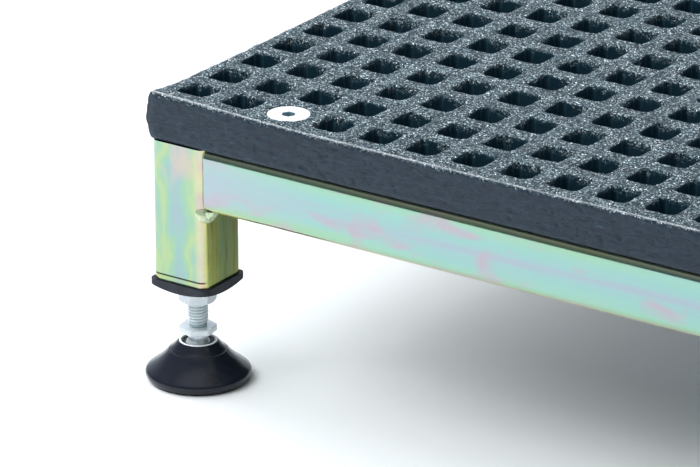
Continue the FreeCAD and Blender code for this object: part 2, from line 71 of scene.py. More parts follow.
def noise(points, size, seed=0):
    """Smooth noise from -1 to 1 with features of about that size."""
    p = points / size
    cell = np.floor(p)
    f = p - cell
    f = f * f * (3 - 2 * f)
    total = np.zeros(len(points))
    for corner in range(8):
        step = np.array([corner & 1, corner >> 1 & 1, corner >> 2 & 1])
        weight = np.prod(np.where(step, f, 1 - f), axis=1)
        k = cell + step
        total += weight * hashed(k[:, 0], k[:, 1], k[:, 2], seed=seed)
    return total * 2 - 1


# ---------------------------------------------------------------- meshes
def mesh_object(name, verts, faces, body, slot, material, smooth=True, replaces=(), floats=None):
    """An object of quads or triangles, in mm, riding on a body."""
    verts, faces = np.asarray(verts, float), np.asarray(faces, np.int32)
    mesh = bpy.data.meshes.new(name)
    mesh.vertices.add(len(verts))
    mesh.vertices.foreach_set("co", (verts * MM).ravel())
    mesh.loops.add(faces.size)
    mesh.loops.foreach_set("vertex_index", faces.ravel())
    mesh.polygons.add(len(faces))
    mesh.polygons.foreach_set("loop_start", np.arange(0, faces.size, faces.shape[1], dtype=np.int32))
    mesh.polygons.foreach_set("use_smooth", np.full(len(faces), smooth))
    mesh.update(calc_edges=True)
    mesh.validate()
    for key, numbers in (floats or {}).items():
        mesh.attributes.new(key, "FLOAT", "POINT").data.foreach_set("value", np.asarray(numbers, np.float32))
    mesh.materials.append(material)
    obj = bpy.data.objects.new(name, mesh)
    bpy.context.scene.collection.objects.link(obj)
    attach(obj, body)
    if replaces:
        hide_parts(*replaces)
    return obj


def lathe(profile, centre, segments=128):
    """Quads of a profile of (radius, height) turned about a vertical axis, which its ends may touch."""
    profile = np.asarray(profile, float)
    angles = np.arange(segments) * 2 * math.pi / segments
    rows = len(profile)
    x = profile[:, 0, None] * np.cos(angles) + centre[0]
    y = profile[:, 0, None] * np.sin(angles) + centre[1]
    z = np.repeat(profile[:, 1, None], segments, axis=1)
    verts = np.stack([x, y, z], axis=2).reshape(-1, 3)
    i, j = np.meshgrid(np.arange(rows - 1), np.arange(segments), indexing="ij")
    a, b = i * segments + j, i * segments + (j + 1) % segments
    return verts, np.stack([a, b, b + segments, a + segments], axis=2).reshape(-1, 4)


def rounded_path(points, radius, steps=5):
    """A polyline whose inner corners are rounded. A point may carry its own radius."""
    out = [points[0][:2]]
    for before, here, after in zip(points, points[1:], points[2:]):
        r = here[2] if len(here) > 2 else radius
        p, a, b = (np.array(v[:2], float) for v in (here, before, after))
        u, w = a - p, b - p
        lu, lw = np.linalg.norm(u), np.linalg.norm(w)
        cut = min(r, lu * 0.49, lw * 0.49)
        start, end = p + u / lu * cut, p + w / lw * cut
        for t in np.linspace(0, 1, steps):
            out.append(tuple((1 - t) ** 2 * start + 2 * t * (1 - t) * p + t ** 2 * end))
    out.append(points[-1][:2])
    return out


# ---------------------------------------------------------------- node helpers
class Shader:
    """A material being built. Its methods add nodes and return output sockets."""

    def __init__(self, name):
        self.material = bpy.data.materials.new(name)
        self.material.use_nodes = True
        self.tree = self.material.node_tree
        self.tree.nodes.clear()
        self.surface = self.tree.nodes.new("ShaderNodeBsdfPrincipled")
        output = self.tree.nodes.new("ShaderNodeOutputMaterial")
        self.tree.links.new(self.surface.outputs[0], output.inputs[0])

    def node(self, kind, **settings):
        made = self.tree.nodes.new("ShaderNode" + kind)
        for key, value in settings.items():
            setattr(made, key, value)
        return made

    def put(self, socket, value):
        if isinstance(value, bpy.types.NodeSocket):
            self.tree.links.new(value, socket)
        elif value is not None:
            socket.default_value = value

    def set(self, **values):
        for key, value in values.items():
            self.put(self.surface.inputs[key.replace("_", " ")], value)

    def place(self, scale=(1, 1, 1)):
        """Object coordinates in metres, stretched by a scale."""
        coords = self.node("TexCoord").outputs["Object"]
        if tuple(scale) == (1, 1, 1):
            return coords
        mapping = self.node("Mapping")
        self.put(mapping.inputs["Vector"], coords)
        mapping.inputs["Scale"].default_value = scale
        return mapping.outputs[0]

    def noise(self, size_mm, detail=3, rough=0.5, vector=None, distortion=0.0):
        made = self.node("TexNoise")
        self.put(made.inputs["Vector"], vector or self.place())
        made.inputs["Scale"].default_value = 1 / (size_mm * MM)
        made.inputs["Detail"].default_value = detail
        made.inputs["Roughness"].default_value = rough
        made.inputs["Distortion"].default_value = distortion
        return made.outputs["Fac"]

    def voronoi(self, size_mm, output="Distance", vector=None):
        made = self.node("TexVoronoi")
        self.put(made.inputs["Vector"], vector or self.place())
        made.inputs["Scale"].default_value = 1 / (size_mm * MM)
        return made.outputs[output]

    def ramp(self, value, stops):
        """Colours or greys at positions along a value."""
        made = self.node("ValToRGB")
        elements = made.color_ramp.elements
        while len(elements) < len(stops):
            elements.new(0.5)
        for element, (position, color) in zip(elements, stops):
            element.position = position
            if isinstance(color, (int, float)):
                color = (color,) * 3
            element.color = (*color, 1)
        self.put(made.inputs[0], value)
        return made.outputs["Color"]

    def math(self, operation, a, b=None):
        made = self.node("Math", operation=operation)
        for socket, value in zip(made.inputs, (a, b)):
            self.put(socket, value)
        return made.outputs[0]

    def mix(self, factor, a, b, blend="MIX"):
        made = self.node("Mix", data_type="RGBA", blend_type=blend)
        for socket, value in ((made.inputs[0], factor), (made.inputs[6], a), (made.inputs[7], b)):
            if isinstance(value, tuple) and len(value) == 3:
                value = (*value, 1)
            self.put(socket, value)
        return made.outputs[2]

    def share(self, value, start, length):
        """How far a value lies beyond a start, as a share of a length."""
        return self.math("DIVIDE", self.math("SUBTRACT", value, start), length)

    def sway(self, pattern, amount):
        """A pattern from 0 to 1 made into a shift either way from nothing."""
        return self.math("MULTIPLY", self.math("SUBTRACT", pattern, 0.5), amount)

    def split(self, color, channel):
        made = self.node("SeparateColor")
        self.put(made.inputs[0], color)
        return made.outputs[channel]

    def axes(self, vector):
        """The x, y and z of a vector."""
        made = self.node("SeparateXYZ")
        self.put(made.inputs[0], vector)
        return made.outputs

    def bump(self, height, depth_mm):
        made = self.node("Bump")
        made.inputs["Distance"].default_value = depth_mm * MM
        self.put(made.inputs["Height"], height)
        return made.outputs[0]

    def attribute(self, name):
        return self.node("Attribute", attribute_name=name).outputs["Fac"]


# ---------------------------------------------------------------- materials
GRAIN, FINE_GRAIN = 0.60, 0.42        # sizes of the grit's grains, in mm


def grit_color(s, grains, edge):
    """Dark and pale grains in clouds, with pale beads along the "edge" that paint the highlight where the
    rounded edge catches the light.
    """
    color = s.ramp(s.split(grains, 0), [(0.0, (0.003, 0.009, 0.014)), (0.36, (0.012, 0.030, 0.042)),
                                        (0.58, (0.045, 0.088, 0.112)), (0.78, (0.14, 0.20, 0.235)),
                                        (0.90, (0.42, 0.52, 0.56)), (1.0, (0.88, 0.95, 0.98))])
    fine = s.split(s.voronoi(FINE_GRAIN, "Color"), 1)
    color = s.mix(1.0, color, s.ramp(fine, [(0.0, 0.35), (0.5, 0.85), (0.86, 1.3), (1.0, 2.8)]), "MULTIPLY")
    cloud = s.ramp(s.noise(14, 3), [(0.3, 0.8), (0.7, 1.2)])
    color = s.mix(1.0, color, cloud, "MULTIPLY")
    # pale beads where "edge" is set: a painted highlight on the rounded top edge
    beads = s.ramp(s.split(s.voronoi(0.7, "Color"), 2), [(0.0, 0.30), (0.4, 0.65), (1.0, 0.95)])
    return s.mix(edge, color, s.mix(1.0, beads, (0.90, 0.95, 1.0), "MULTIPLY"))


def deck_material():
    """Blue-black moulded resin, streaked on the outer "face", under bonded grit where "grit" says."""
    s = Shader("deck_grp")
    grit, edge, face = s.attribute("grit"), s.attribute("edge"), s.attribute("face")
    grains = s.voronoi(GRAIN, "Color")
    streaks = s.noise(1.6, 7, 0.72, s.place((0.30, 0.30, 1.0)), 0.6)
    resin = s.ramp(streaks, [(0.30, (0.002, 0.008, 0.020)), (0.48, (0.005, 0.018, 0.036)),
                             (0.62, (0.011, 0.030, 0.053)), (0.74, (0.050, 0.074, 0.105))])
    specks = s.ramp(s.voronoi(2.4, vector=s.place((0.7, 0.7, 1.0))), [(0.10, 0.25), (0.17, 1.0)])
    resin = s.mix(1.0, resin, specks, "MULTIPLY")
    resin = s.mix(face, (0.009, 0.030, 0.046), resin)
    s.set(Base_Color=s.mix(grit, resin, grit_color(s, grains, edge)))
    rough_resin = s.ramp(s.noise(3, 4), [(0.3, 0.36), (0.7, 0.54)])
    rough_grit = s.ramp(s.split(grains, 2), [(0.0, 0.22), (0.6, 0.5), (1.0, 0.8)])
    s.set(Roughness=s.mix(grit, rough_resin, rough_grit))
    s.set(Specular_IOR_Level=s.math("ADD", 0.12, s.math("MULTIPLY", s.math("MAXIMUM", grit, face), 0.34)))
    height = s.math("ADD", s.math("MULTIPLY", s.voronoi(GRAIN), -1.0),
                    s.math("MULTIPLY", s.voronoi(FINE_GRAIN), -0.5))
    height = s.math("ADD", height, s.math("MULTIPLY", s.split(grains, 0), 0.5))
    smooth = s.math("ADD", s.math("MULTIPLY", streaks, 0.80), s.math("MULTIPLY", specks, 0.45))
    blended = s.math("ADD", s.math("MULTIPLY", height, grit),
                     s.math("MULTIPLY", smooth, s.math("SUBTRACT", 1.0, grit)))
    s.set(Normal=s.bump(blended, 0.5))
    return s.material


HALF_TUBE = 15.0
LEG_CENTRE = (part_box("leg_front_right")[0][0] / MM + HALF_TUBE,
              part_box("leg_rear_right")[0][1] / MM + HALF_TUBE)
RAIL_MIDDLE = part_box("rail_front")[1][2] / MM - HALF_TUBE
LEG_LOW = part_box("leg_front_left")[0][2] / MM
BLUSH_OVER = 68.0           # about a leg's length in mm, which the blush near its top is measured by


def stretched(along, amount):
    """Texture scales that draw a pattern out along one axis."""
    return [amount if axis == along else 1.0 for axis in range(3)]


def leg_film(s, xyz, across):
    """The film on a leg's front and rear faces: clouds, blushes near the top, and a warm inner edge that is a
    painted highlight on the rounded corner.
    """
    streaks = s.noise(7.5, 4, 0.55, s.place(stretched(2, 0.28)), 0.3)
    clouds = s.noise(12, 2, 0.5, s.place(stretched(2, 0.6)))
    place = s.math("ADD", s.math("ADD", across, s.sway(streaks, 0.9)), s.sway(clouds, 1.1))
    film = s.ramp(place, [(0.0, (0.40, 0.53, 0.54)), (0.20, (0.37, 0.58, 0.49)), (0.42, (0.40, 0.62, 0.40)),
                          (0.62, (0.52, 0.66, 0.34)), (0.82, (0.37, 0.59, 0.46)), (1.0, (0.38, 0.57, 0.52))])
    patches = s.noise(15, 3, 0.5, s.place(stretched(2, 0.45)), 0.8)
    near_top = s.ramp(s.share(xyz[2], LEG_LOW * MM, BLUSH_OVER * MM), [(0.66, 0.0), (0.86, 1.0)])
    blush = s.math("MULTIPLY", s.ramp(patches, [(0.46, 0.0), (0.60, 1.0)]), near_top)
    film = s.mix(s.math("MULTIPLY", blush, 0.55), film, (0.80, 0.58, 0.42))
    # cream along the inner edge: a painted highlight on the rounded corner
    inwards = s.math("SUBTRACT", LEG_CENTRE[0] * MM, s.math("ABSOLUTE", xyz[0]))
    inner = s.ramp(s.math("DIVIDE", inwards, HALF_TUBE * MM), [(0.60, 0.0), (0.86, 1.0)])
    corner_highlight_blot = s.ramp(s.noise(11, 2, 0.5, s.place((0.2, 0.2, 1.0))), [(0.42, 0.0), (0.62, 1.0)])
    return s.mix(s.math("MULTIPLY", inner, 0.75), film, s.mix(corner_highlight_blot, (0.84, 0.78, 0.46), (0.86, 0.60, 0.50)))


def leg_side_film(s, xyz):
    """The olive film on a leg's left and right faces, in bands from its inner to its outer edge; the pale
    outer end of the bands is a painted highlight by the rounded corner.
    """
    grain = s.noise(2.8, 5, 0.6, s.place(stretched(2, 0.09)))
    olive = s.ramp(grain, [(0.32, (0.42, 0.34, 0.13)), (0.45, (0.54, 0.62, 0.21)), (0.55, (0.72, 0.76, 0.27)),
                           (0.67, (0.42, 0.72, 0.46))])
    depth = s.share(s.math("ABSOLUTE", xyz[1]), LEG_CENTRE[1] * MM, 2 * HALF_TUBE * MM)
    # film tones across the face, growing into a painted highlight towards the outer edge
    bands_and_highlight = s.ramp(s.math("ADD", depth, 0.5), [(0.02, (0.85, 0.55, 0.35)), (0.14, (0.85, 0.85, 0.70)),
                                              (0.50, (0.62, 0.85, 0.80)), (0.74, (1.15, 1.15, 0.70)),
                                              (0.92, (1.5, 1.5, 1.0))])
    return s.mix(1.0, olive, bands_and_highlight, "MULTIPLY")


def zinc_leg(s, xyz, offsets):
    """The whole film of a leg, with a dark line just above the foot end of its front and rear faces."""
    across = s.math("DIVIDE", s.math("MINIMUM", *offsets), HALF_TUBE * MM)
    film = leg_film(s, xyz, across)
    facing = s.axes(s.node("TexCoord").outputs["Normal"])
    sideways = s.ramp(s.math("ABSOLUTE", facing[0]), [(0.72, 0.0), (0.95, 1.0)])
    film = s.mix(sideways, film, s.mix(0.15, leg_side_film(s, xyz), film))
    mark = s.share(xyz[2], LEG_LOW * MM, 10 * MM)
    line = s.ramp(mark, [(0.0, (1.10, 0.98, 0.80)), (0.25, (1.15, 1.02, 0.84)), (0.28, (0.10, 0.07, 0.07)),
                         (0.33, (0.10, 0.07, 0.07)), (0.36, (1.0, 1.0, 1.0))])
    return s.mix(1.0, film, s.mix(sideways, line, (1, 1, 1)), "MULTIPLY")


def zinc_rail(s, xyz, offsets, along):
    """The film of a rail: streaks, pink patches, lilac near each leg, and warm corners above and below."""
    from_middle = s.math("ABSOLUTE", s.math("SUBTRACT", xyz[2], RAIL_MIDDLE * MM))
    across = s.math("DIVIDE", from_middle, HALF_TUBE * MM)
    streaks = s.noise(7.5, 4, 0.55, s.place(stretched(along, 0.04)), 0.3)
    film = s.ramp(s.math("ADD", across, s.sway(streaks, 1.6)),
                  [(0.0, (0.46, 0.53, 0.60)), (0.14, (0.42, 0.58, 0.60)), (0.38, (0.38, 0.62, 0.58)),
                   (0.62, (0.40, 0.63, 0.55)), (0.84, (0.41, 0.64, 0.46)), (1.0, (0.44, 0.62, 0.36))])
    patches = s.noise(15, 3, 0.5, s.place(stretched(along, 0.45)), 0.8)
    film = s.mix(s.ramp(patches, [(0.52, 0.0), (0.68, 0.85)]), film, (0.60, 0.46, 0.55))
    flat = s.ramp(across, [(0.62, 1.0), (0.80, 0.0)])
    from_leg = s.math("DIVIDE", offsets[along], 110 * MM)
    near_leg = s.math("MULTIPLY", s.ramp(from_leg, [(0.13, 0.55), (0.75, 0.0)]), flat)
    film = s.mix(near_leg, film, (0.56, 0.53, 0.63))
    warm = s.ramp(s.noise(55, 2, 0.5, s.place(stretched(along, 0.04))), [(0.42, (0.42, 0.60, 0.50)),
                                                                         (0.58, (0.95, 0.82, 0.58))])
    film = s.mix(s.ramp(across, [(0.80, 0.0), (0.94, 0.9)]), film, warm)
    return s.mix(1.0, film, (0.96, 1.02, 0.96), "MULTIPLY")


def zinc_yellow_material(name, along):
    """Yellow passivated zinc: a faint rainbow film, brushed along the tube (axis 0, 1 or 2)."""
    s = Shader(name)
    xyz = s.axes(s.place())
    offsets = []
    for axis in (0, 1):
        size = s.math("ABSOLUTE", xyz[axis])
        offsets.append(s.math("ABSOLUTE", s.math("SUBTRACT", size, LEG_CENTRE[axis] * MM)))
    film = zinc_leg(s, xyz, offsets) if along == 2 else zinc_rail(s, xyz, offsets, along)
    s.set(Base_Color=s.mix(1.0, film, (0.80, 0.80, 0.82), "MULTIPLY"), Metallic=1.0)
    brushing = s.noise(1.1, 4, 0.6, s.place(stretched(along, 0.05)))
    s.set(Roughness=s.ramp(brushing, [(0.3, 0.15), (0.7, 0.25)]))
    s.set(Normal=s.bump(s.math("ADD", brushing, s.math("MULTIPLY", s.noise(9, 2), 0.5)), 0.012))
    return s.material


def zinc_weld_material():
    s = Shader("zinc_weld")
    film = s.ramp(s.noise(4, 3), [(0.3, (0.50, 0.62, 0.34)), (0.5, (0.54, 0.68, 0.44)),
                                  (0.7, (0.76, 0.76, 0.52))])
    s.set(Base_Color=film, Metallic=0.5, Roughness=s.ramp(s.noise(1.5, 3), [(0.3, 0.22), (0.7, 0.40)]))
    s.set(Normal=s.bump(s.noise(0.8, 3), 0.03))
    return s.material


def zinc_bright_material():
    s = Shader("zinc_bright")
    cloud = s.noise(4, 4, 0.6)
    s.set(Base_Color=s.ramp(cloud, [(0.3, (0.66, 0.71, 0.75)), (0.7, (0.74, 0.79, 0.82))]), Metallic=0.4)
    s.set(Roughness=s.ramp(s.noise(3, 3), [(0.3, 0.22), (0.7, 0.28)]))
    return s.material


def zinc_screw_material():
    """A white face, and a blue-grey socket below it: the same zinc, with painted shade in the sunk part."""
    s = Shader("zinc_screw")
    # deeper than half a millimetre below the deck's top the zinc is painted blue-grey as shade
    sunk_shade = s.ramp(s.share(TOP * MM, s.axes(s.place())[2], MM), [(0.2, 0.0), (0.5, 1.0)])
    face = s.ramp(s.noise(6, 3), [(0.3, (0.92, 0.95, 0.97)), (0.7, (0.97, 0.98, 0.99))])
    s.set(Base_Color=s.mix(sunk_shade, face, (0.20, 0.34, 0.40)), Metallic=0.3)
    s.set(Roughness=s.ramp(s.noise(3, 3), [(0.3, 0.30), (0.7, 0.38)]))
    return s.material


def plastic_material(name, dark, light, rough, grain_mm, depth, specular=0.5):
    s = Shader(name)
    cloud = s.noise(7, 4, 0.6)
    s.set(Base_Color=s.ramp(cloud, [(0.3, dark), (0.7, light)]), Specular_IOR_Level=specular)
    s.set(Roughness=s.ramp(s.noise(3, 3), [(0.3, rough[0]), (0.7, rough[1])]))
    s.set(Normal=s.bump(s.noise(grain_mm, 3, 0.6), depth))
    return s.material


def zinc_thread_material():
    """Bright zinc with painted shade in the thread's valleys."""
    s = Shader("zinc_thread")
    crest = s.ramp(s.noise(5, 3), [(0.3, (0.86, 0.93, 0.95)), (0.7, (0.94, 0.98, 0.99))])
    # painted shade: darker towards the thread's root
    root_shade = s.ramp(s.attribute("valley_shade"), [(0.30, (1.0, 1.0, 1.0)), (0.90, (0.42, 0.54, 0.58))])
    s.set(Base_Color=s.mix(1.0, crest, root_shade, "MULTIPLY"), Metallic=0.1)
    s.set(Roughness=s.ramp(s.noise(2, 2), [(0.3, 0.26), (0.7, 0.32)]))
    return s.material


def ring_material():
    s = Shader("ring_steel")
    # black: blackened steel that also stands in for the shade in the gap round the ball
    black_and_gap_shade = s.ramp(s.noise(2, 3), [(0.3, (0.010, 0.011, 0.013)), (0.7, (0.022, 0.024, 0.028))])
    s.set(Base_Color=black_and_gap_shade, Metallic=0.6)
    s.set(Roughness=s.ramp(s.noise(1.0, 3), [(0.3, 0.35), (0.7, 0.55)]))
    return s.material


DECK = deck_material()
ZINC_LEG = zinc_yellow_material("zinc_yellow_leg", 2)
ZINC_LONG = zinc_yellow_material("zinc_yellow_long", 0)
ZINC_SHORT = zinc_yellow_material("zinc_yellow_short", 1)
ZINC_WELD = zinc_weld_material()
ZINC_BRIGHT = zinc_bright_material()
ZINC_THREAD = zinc_thread_material()
ZINC_SCREW = zinc_screw_material()
RING_STEEL = ring_material()
INSERT = plastic_material("insert_plastic", dark=(0.012, 0.014, 0.022), light=(0.024, 0.027, 0.040),
                          rough=(0.42, 0.55), grain_mm=0.35, depth=0.02, specular=0.35)
FOOT = plastic_material("foot_plastic", dark=(0.009, 0.011, 0.019), light=(0.012, 0.015, 0.026),
                        rough=(0.15, 0.20), grain_mm=1.2, depth=0.004, specular=0.38)
RUBBER = plastic_material("pad_rubber", dark=(0.010, 0.010, 0.011), light=(0.020, 0.020, 0.022),
                          rough=(0.65, 0.8), grain_mm=0.5, depth=0.03)


# ---------------------------------------------------------------- the deck
EDGE_ROUND, LOWER_ROUND = 1.3, 2.0
STRIPS = 5                         # pieces that the top face is split into, from front to rear
WALL_DEPTHS = (0.45, 1.1, 2.2, 4.0, 7.5, 13.0, TOP - UNDER)      # of the rows down the cells' walls
BARE_DEPTH = 12                    # below this the walls carry no grit
TINY = 1e-6


def grid_lines(count, size, cell_shares, bar_steps, inset):
    """Grid lines across the deck: border, then cells and bars by turns, then border."""
    half = (count - 1) / 2 * PITCH
    border = size / 2 - half
    cuts = [-half - border + inset]
    for i in range(count):
        middle = (i - (count - 1) / 2) * PITCH
        cuts += [middle - CELL / 2, middle + CELL / 2]
    cuts.append(half + border - inset)
    out = []
    for k, (a, b) in enumerate(zip(cuts, cuts[1:])):
        if k in (0, len(cuts) - 2):
            steps = max(1, round((b - a) / (PITCH - CELL) * bar_steps))
            out.append(np.linspace(a, b, steps + 1)[:-1])
        elif k % 2:
            out.append(a + (b - a) * cell_shares)
        else:
            out.append(np.linspace(a, b, bar_steps + 1)[:-1])
    return np.append(np.concatenate(out), cuts[-1])


def cell_distance(x, y):
    """Distance to the nearest opening's wall, negative inside it, the way out, and if it is a screw's."""
    i = np.clip(np.round(x / PITCH), -(CELLS_X // 2), CELLS_X // 2)
    j = np.clip(np.round(y / PITCH), -(CELLS_Y // 2), CELLS_Y // 2)
    u, v = x - i * PITCH, y - j * PITCH
    core = CELL / 2 - CELL_CORNER
    du, dv = np.abs(u) - core, np.abs(v) - core
    out_u, out_v = np.maximum(du, 0), np.maximum(dv, 0)
    length = np.hypot(out_u, out_v)
    inside = np.minimum(np.maximum(du, dv), 0)
    square = length + inside - CELL_CORNER
    straight = length < 1e-9
    wide = du > dv
    gu = np.where(straight, np.where(wide, 1.0, 0.0), out_u / np.maximum(length, 1e-9)) * np.sign(u)
    gv = np.where(straight, np.where(wide, 0.0, 1.0), out_v / np.maximum(length, 1e-9)) * np.sign(v)
    screw = (np.abs(i) == SCREW_I) & (np.abs(j) == SCREW_J)
    radius = np.maximum(np.hypot(u, v), 1e-9)
    distance = np.where(screw, radius - HEAD_R, square)
    return distance, np.where(screw, u / radius, gu), np.where(screw, v / radius, gv), screw


def plate(cell_shares, bar_steps, inset):
    """Vertices and quads of the deck's flat face with every opening cut out to its true outline."""
    xs = grid_lines(CELLS_X, LENGTH, cell_shares, bar_steps, inset)
    ys = grid_lines(CELLS_Y, WIDTH, cell_shares, bar_steps, inset)
    gx, gy = np.meshgrid(xs, ys, indexing="ij")
    x, y = gx.ravel(), gy.ravel()
    distance, gu, gv, _ = cell_distance(x, y)
    i, j = np.meshgrid(np.arange(len(xs) - 1), np.arange(len(ys) - 1), indexing="ij")
    a = (i * len(ys) + j).ravel()
    quads = np.stack([a, a + len(ys), a + len(ys) + 1, a + 1], axis=1)
    quads = quads[(distance[quads] > TINY).any(axis=1)]
    inner = distance < 0
    x = np.where(inner, x - distance * gu, x)
    y = np.where(inner, y - distance * gv, y)
    used = np.unique(quads)
    index = np.full(len(x), -1)
    index[used] = np.arange(len(used))
    return np.stack([x[used], y[used]], axis=1), index[quads]


def rim_edges(quads):
    """The directed edges that only one quad uses."""
    edges = np.concatenate([quads[:, [k, (k + 1) % 4]] for k in range(4)])
    key = np.sort(edges, axis=1)
    _, first, counts = np.unique(key, axis=0, return_index=True, return_counts=True)
    return edges[first[counts == 1]]


def curtain(edges, rows):
    """Quads that hang from directed edges through rows of vertices. rows holds each row's vertex numbers."""
    first, second = edges.T
    out = []
    for upper, lower in zip(rows, rows[1:]):
        out.append(np.stack([upper[second], upper[first], lower[first], lower[second]], axis=1))
    return np.concatenate(out)


def grit_height(points):
    """Height of the gritted surface, in mm."""
    flat = points.copy()
    flat[:, 2] = 0
    coarse = noise(flat, 1.7, 3) * 0.16 + noise(flat, 0.95, 5) * 0.14
    inwards = np.minimum(LENGTH / 2 - np.abs(points[:, 0]), WIDTH / 2 - np.abs(points[:, 1]))
    return coarse * np.clip(inwards / 2.5, 0.25, 1) + noise(flat, 17, 7) * 0.18


CORNER_RISE, RISE_ALONG, RISE_BACK = 3.0, 60, 18    # height, and the lengths it fades over, right and back
END_BELLY, END_DEPTH = 2.7, 2.5                     # how far the left end bulges, and how far in it starts


def warp(points):
    """The front edge rises towards the left corner, and the rough left end bulges past the frame."""
    out = points.copy()
    height = np.clip((points[:, 2] - UNDER) / (TOP - UNDER), 0, 1)
    from_end, from_front = points[:, 0] + LENGTH / 2, points[:, 1] + WIDTH / 2
    rightwards = np.exp(-(np.clip(from_end, 0, None) / RISE_ALONG) ** 1.5)
    rise = CORNER_RISE * rightwards * np.exp(-np.clip(from_front, 0, None) / RISE_BACK)
    out[:, 2] += rise * np.clip(height * 1.5 - 0.5, 0, 1)
    near_end = np.clip(1 - from_end / END_DEPTH, 0, 1)
    belly = END_BELLY * np.sin(height * math.pi) ** 0.7 + 0.5 * height - 0.3
    rough = 0.75 * noise(points, 5, 41) + 0.50 * noise(points, 1.8, 42)
    out[:, 0] -= near_end * (belly + rough * np.clip(height * 4, 0, 1))
    return out


def on_border(values, size):
    """Which coordinates lie on the top face's outer line, on either side of the deck."""
    return np.abs(np.abs(values) - (size / 2 - EDGE_ROUND)) < TINY


def gritted_top(flat):
    """The top face's vertices, with the rims of the openings worn back and down."""
    distance, gu, gv, screw = cell_distance(flat[:, 0], flat[:, 1])
    rim = distance < 1e-5
    top = np.column_stack([flat, np.full(len(flat), TOP)])
    lift = grit_height(top)
    away = np.where(rim, 0.40 + 0.22 * noise(top, 1.3, 11), 0)
    top[:, 0] += away * gu
    top[:, 1] += away * gv
    top[:, 2] += np.where(rim, -0.16 + 0.6 * lift, lift) - np.where(screw & rim, 0.1, 0)
    return top


def cell_walls(flat, edges):
    """The openings' walls: rows going down, each slightly uneven, with grit that thins out below the top."""
    ids = np.unique(edges)
    _, gu, gv, _ = cell_distance(flat[ids, 0], flat[ids, 1])
    rows, verts, grit = [np.arange(len(flat))], [], []
    for k, depth in enumerate(WALL_DEPTHS):
        row = np.column_stack([flat[ids], np.full(len(ids), TOP - depth)])
        amount = 0.16 * max(0.0, 1 - depth / 4)
        rough = noise(row, 1.4, 20) * amount + noise(row, 7, 21) * 0.10
        out = (0.12 if k == 0 else 0.0) + (0 if k == len(WALL_DEPTHS) - 1 else 1) * rough
        row[:, 0] += out * gu
        row[:, 1] += out * gv
        numbers = np.full(len(flat), -1)
        numbers[ids] = len(flat) + k * len(ids) + np.arange(len(ids))
        rows.append(numbers)
        verts.append(row)
        spill = 0.35 * gu + 0.75 * noise(row, 5.0, 23) + 0.5 * noise(row, 1.6, 24)
        grit.append(np.clip(0.75 - depth / 3.4 + spill, 0, 1) * (0 if depth > BARE_DEPTH else 1))
    return verts, grit, curtain(edges, rows)


def build_strips(flat, quads, top, wall_edges):
    """The top face and the walls below it, as one piece for every three rows of cells."""
    walls, wall_grit, wall_quads = cell_walls(flat, wall_edges)
    verts = warp(np.concatenate([top] + walls))
    grit = np.concatenate([np.ones(len(flat))] + wall_grit)
    faces = np.concatenate([quads, wall_quads])
    owners = np.concatenate([quads[:, 0], np.tile(wall_edges[:, 0], len(WALL_DEPTHS))])
    strip = np.clip(((flat[owners, 1] + WIDTH / 2) / (WIDTH / STRIPS)).astype(int), 0, STRIPS - 1)
    for k in range(STRIPS):
        chosen = faces[strip == k]
        used, inverse = np.unique(chosen, return_inverse=True)
        mesh_object("deck_strip_%d" % (k + 1), verts[used], inverse.reshape(-1, 4), "platform", "grp_deck",
                    DECK, floats={"grit": grit[used]}, replaces=["deck_panel"] if k == 0 else ())


def build_underside():
    shares = np.array([0, CELL_CORNER, CELL / 2, CELL - CELL_CORNER]) / CELL
    flat, quads = plate(shares, 1, LOWER_ROUND)
    verts = np.column_stack([flat, np.full(len(flat), UNDER)])
    mesh_object("deck_underside", verts, quads[:, ::-1], "platform", "grp_deck", DECK,
                floats={"grit": np.zeros(len(verts))})


def edge_profile():
    """The closed edge from the top face over and down to the underside, as (outwards, upwards) in mm."""
    bends = np.linspace(0, math.pi / 2, 5)
    profile = [(EDGE_ROUND * (math.sin(a) - 1), -EDGE_ROUND * (1 - math.cos(a))) for a in bends]
    profile += [(0, -d) for d in np.linspace(EDGE_ROUND, TOP - UNDER - LOWER_ROUND, 19)[1:]]
    profile += [(LOWER_ROUND * (math.cos(a) - 1), -(TOP - UNDER) + LOWER_ROUND * (1 - math.sin(a)))
                for a in bends[1:]]
    return profile


CORNER_REACH = 0.72                # how far the edge's rounding reaches along x and y at the deck's corners
CREST_GLINT = (0.2, 1.0, 0.35)           # how pale the first rows of the edge are: a painted highlight along the rounded top edge


